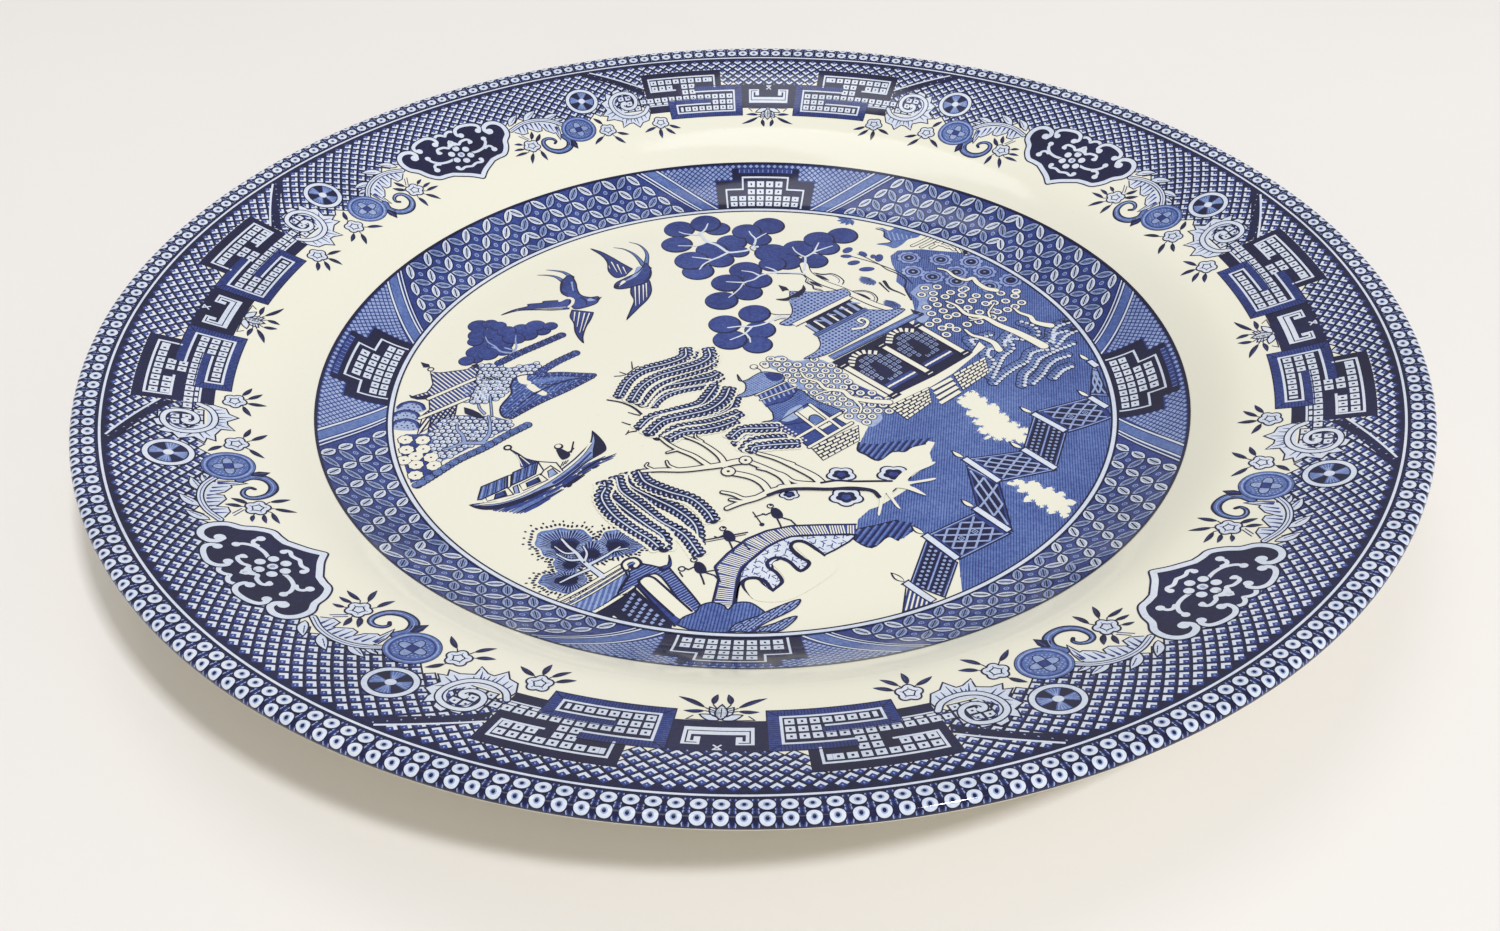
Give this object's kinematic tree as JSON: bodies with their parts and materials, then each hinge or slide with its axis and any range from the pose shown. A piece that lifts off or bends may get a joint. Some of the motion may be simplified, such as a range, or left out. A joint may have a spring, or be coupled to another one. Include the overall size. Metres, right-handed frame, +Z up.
{
  "type": "dinner plate",
  "caption": "Round china dinner plate with a wide rim, a shallow well and a foot ring, blue willow-style transfer print under clear glaze.",
  "frame": {"origin": "centre of the foot ring's resting plane, on the plate's axis", "axes": "+Z up out of the well, along the plate's axis; the picture in the well reads upright seen from -Y, with +X to the right"},
  "size_m": [0.26, 0.26, 0.0265],
  "materials": {
    "biscuit": "fine matt fired clay, seen only on the dry foot ring",
    "face_glaze": "high gloss clear glaze over an ivory body",
    "back_glaze": "high gloss clear glaze over an ivory body",
    "base_glaze": "high gloss clear glaze over an ivory body",
    "edge_print": "cobalt blue underglaze transfer print under gloss glaze",
    "rim_print": "cobalt blue underglaze transfer print under gloss glaze",
    "well_print": "cobalt blue underglaze transfer print under gloss glaze",
    "scene_print": "cobalt blue underglaze transfer print under gloss glaze"
  },
  "bodies": {
    "root": {"biscuit_body": "biscuit", "face_glaze": "face_glaze", "back_glaze": "back_glaze", "base_glaze": "base_glaze", "edge_band_print": "edge_print", "rim_border_print": "rim_print", "well_border_print": "well_print", "centre_scene_print": "scene_print"}
  },
  "joints": []
}
